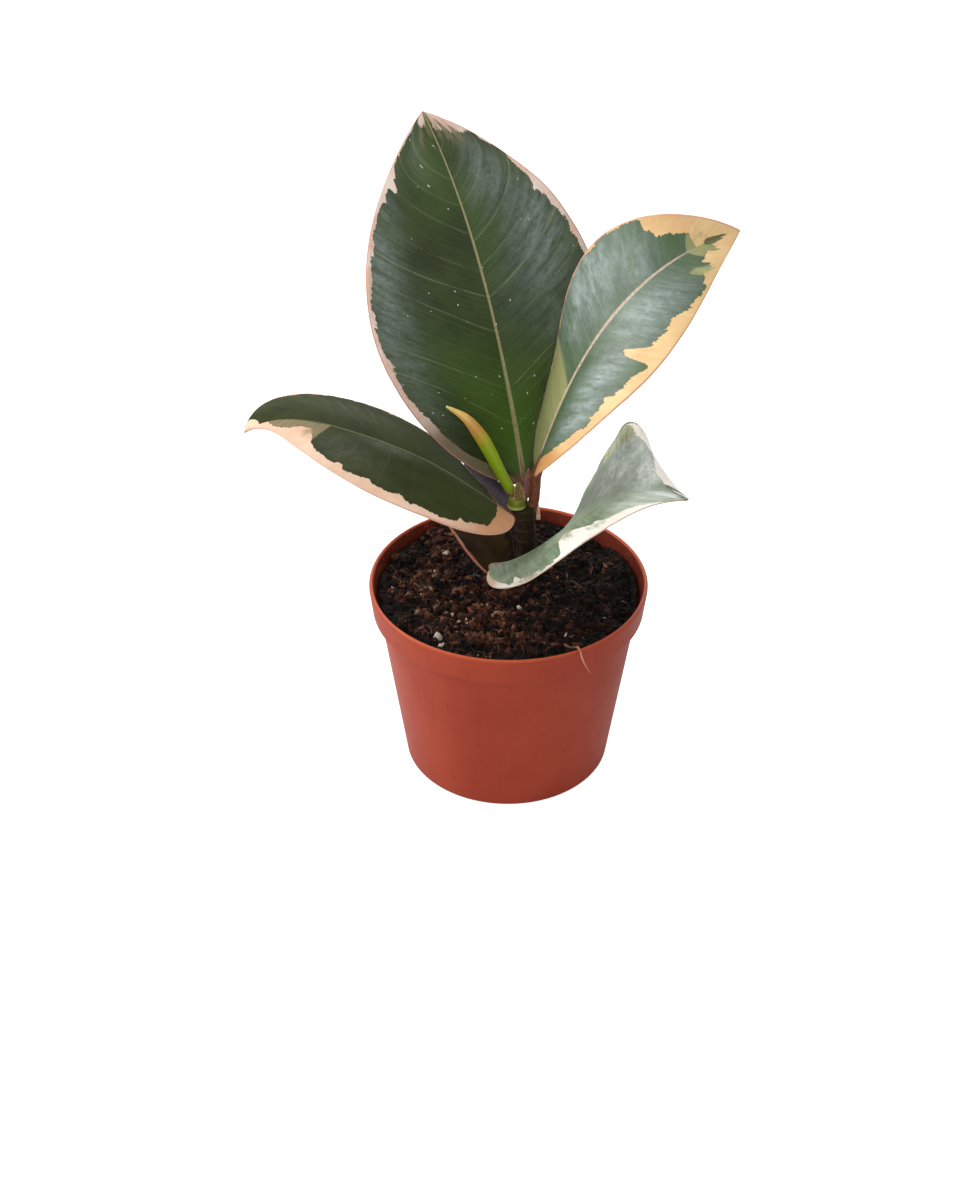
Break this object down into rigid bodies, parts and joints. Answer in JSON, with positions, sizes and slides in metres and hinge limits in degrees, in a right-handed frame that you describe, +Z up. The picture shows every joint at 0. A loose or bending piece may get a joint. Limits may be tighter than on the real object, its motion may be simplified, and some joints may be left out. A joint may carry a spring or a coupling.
{
  "type": "potted rubber plant",
  "caption": "Young variegated rubber plant with glossy cream-edged leaves and a rolled new leaf, in a small tapered terracotta-coloured plastic pot.",
  "frame": {"origin": "centre of the pot's flat underside", "axes": "+Z up along the pot's axis, -Y towards the viewer, +X to the viewer's right"},
  "size_m": [0.1002, 0.0814, 0.1306],
  "materials": {
    "pot_plastic": "smooth moulded plastic with a soft satin sheen",
    "peat": null,
    "bark": "smooth young bark, green above and brown below",
    "leaf_green": null,
    "new_leaf_green": "glossy rolled young leaf, lime green to golden",
    "bud_green": "glossy fresh green tissue",
    "dry_scale": "thin dry brown bud scale",
    "pink_scale": "thin pink bud scale",
    "cream_scale": "thin cream bud scale",
    "dark_scale": "thin dark purple-brown bud sheath, dry and slightly glossy",
    "root": "thin fibrous root"
  },
  "bodies": {
    "root": {"pot": "pot_plastic", "soil": "peat", "stem": "bark", "leaf_back": "leaf_green", "leaf_right": "leaf_green", "leaf_left": "leaf_green", "leaf_front": "leaf_green", "leaf_low": "leaf_green", "new_leaf": "new_leaf_green", "bud_base": "bud_green", "scale_brown": "dry_scale", "scale_pink": "pink_scale", "scale_cream": "cream_scale", "scale_dark": "dark_scale", "root_strand": "root"}
  },
  "joints": []
}
